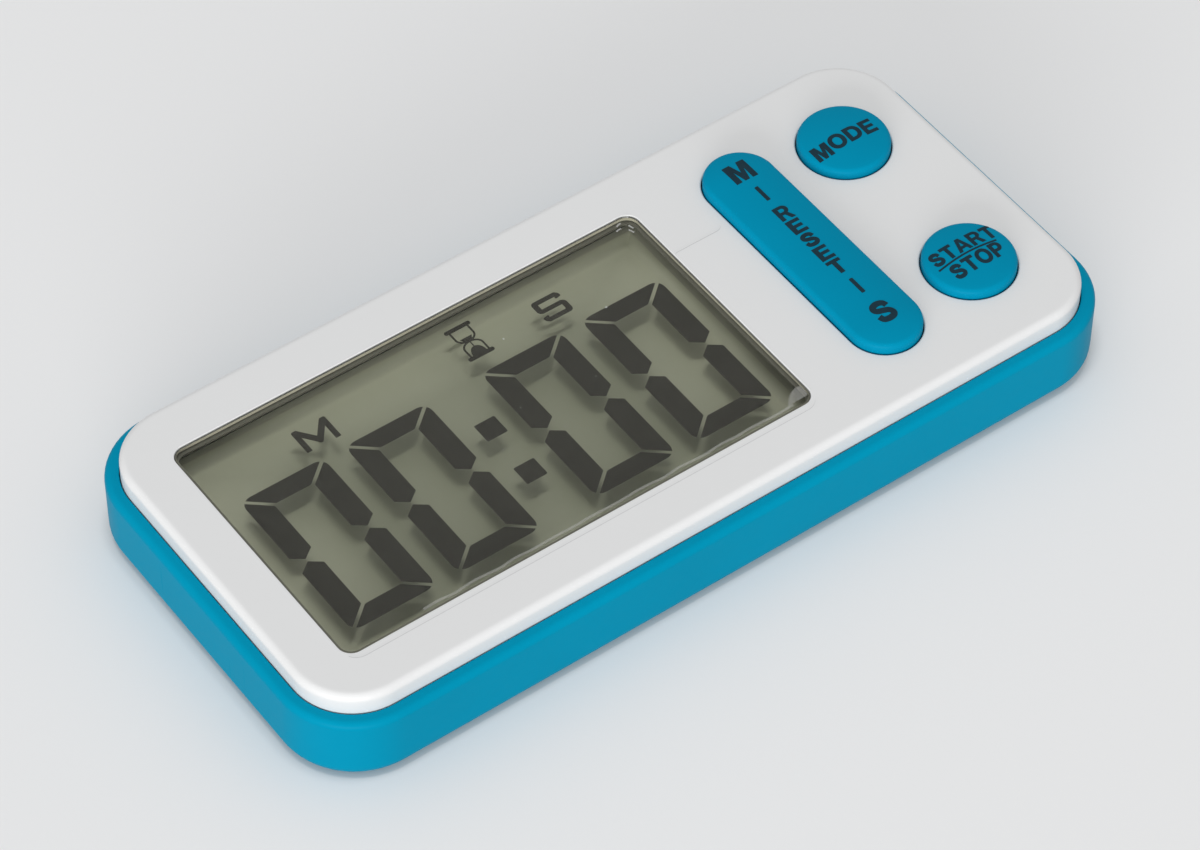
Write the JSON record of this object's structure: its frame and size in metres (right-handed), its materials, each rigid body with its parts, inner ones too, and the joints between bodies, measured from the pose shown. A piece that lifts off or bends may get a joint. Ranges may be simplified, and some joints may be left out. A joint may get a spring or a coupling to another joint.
{
  "type": "kitchen timer",
  "caption": "Slim digital kitchen timer: blue shell, white face, large liquid crystal display, round buttons, a long tilting key, battery door, magnets and a fold-out stand.",
  "frame": {"origin": "centre of the case on the surface it lies on: the middle of the flat back", "axes": "+X along the case towards the keys, +Y across it towards the tops of the digits, +Z out of the face"},
  "size_m": [0.11, 0.0514, 0.0134],
  "materials": {
    "blue_shell": "satin moulded plastic",
    "white_face": "satin moulded plastic",
    "blue_key": "matt silicone-like key",
    "clear_lens": "clear polished",
    "clear_film": "clear film",
    "display_glass": "clear",
    "polarizer": "grey-green film",
    "dark_segment": "dark, matt",
    "grey_green_reflector": "grey-green, matt",
    "tray_plastic": "natural plastic",
    "contact_rubber": "matt",
    "green_board": "solder mask",
    "black_epoxy": "glossy",
    "nickel_steel": "nickel plated",
    "chip_ceramic": "ceramic",
    "keypad_rubber": "translucent silicone",
    "carbon_rubber": "matt",
    "spring_brass": "bare",
    "wire_cover": "wire insulation",
    "dark_magnet": "dark grey ferrite"
  },
  "bodies": {
    "case": {"rear_shell": "blue_shell", "front_bezel": "white_face", "display_lens": "clear_lens", "protective_film": "clear_film", "lcd_front_polarizer": "polarizer", "lcd_front_glass": "display_glass", "lcd_segments": "dark_segment", "lcd_rear_glass": "display_glass", "lcd_rear_polarizer": "polarizer", "lcd_reflector": "grey_green_reflector", "lcd_tray": "tray_plastic", "lcd_contact_strip": "contact_rubber", "circuit_board": "green_board", "chip_cover": "black_epoxy", "quartz_crystal": "nickel_steel", "board_chips": "chip_ceramic", "keypad_mat": "keypad_rubber", "mode_dome": "keypad_rubber", "start_dome": "keypad_rubber", "minute_dome": "keypad_rubber", "second_dome": "keypad_rubber", "rocker_dome": "keypad_rubber", "coin_cell": "nickel_steel", "cell_plus_spring": "spring_brass", "cell_minus_spring": "spring_brass", "buzzer_disc": "spring_brass", "buzzer_ceramic": "chip_ceramic", "buzzer_wires": "wire_cover", "magnets": "dark_magnet", "stand_pin": "nickel_steel", "case_screws": "nickel_steel", "board_screws": "nickel_steel"},
    "mode_key": {"mode_button": "blue_key", "mode_contact": "carbon_rubber"},
    "start_key": {"start_button": "blue_key", "start_contact": "carbon_rubber"},
    "key_carrier": {"rocker_carrier": "tray_plastic", "rocker_pin": "nickel_steel"},
    "long_key": {"rocker_key": "blue_key", "minute_contact": "carbon_rubber", "second_contact": "carbon_rubber"},
    "door": {"battery_door": "blue_shell"},
    "stand": {"stand_leg": "blue_shell"}
  },
  "joints": [
    {"name": "mode_press", "type": "slide", "parent": "case", "child": "mode_key", "axis": [0, 0, -1], "range_m": [0, 0.0008], "stiffness_N_per_m": 1500, "deforming": ["mode_dome"]},
    {"name": "start_press", "type": "slide", "parent": "case", "child": "start_key", "axis": [0, 0, -1], "range_m": [0, 0.0008], "stiffness_N_per_m": 1500, "deforming": ["start_dome"]},
    {"name": "reset_press", "type": "slide", "parent": "case", "child": "key_carrier", "axis": [0, 0, -1], "range_m": [0, 0.0008], "stiffness_N_per_m": 1500, "deforming": ["rocker_dome"]},
    {"name": "minute_second_tilt", "type": "hinge", "parent": "key_carrier", "child": "long_key", "pos_m": [0.0287, 0, 0.0098], "axis": [1, 0, 0], "range_deg": [-2.4, 2.4], "stiffness_Nm_per_rad": 0.35, "deforming": ["minute_dome", "second_dome"]},
    {"name": "door_turn", "type": "hinge", "parent": "case", "child": "door", "pos_m": [-0.036, -0.005, 0.0007], "axis": [0, 0, -1], "range_deg": [0, 40]},
    {"name": "stand_fold", "type": "hinge", "parent": "case", "child": "stand", "pos_m": [0, 0.009, 0.0009], "axis": [1, 0, 0], "range_deg": [0, 62]}
  ]
}
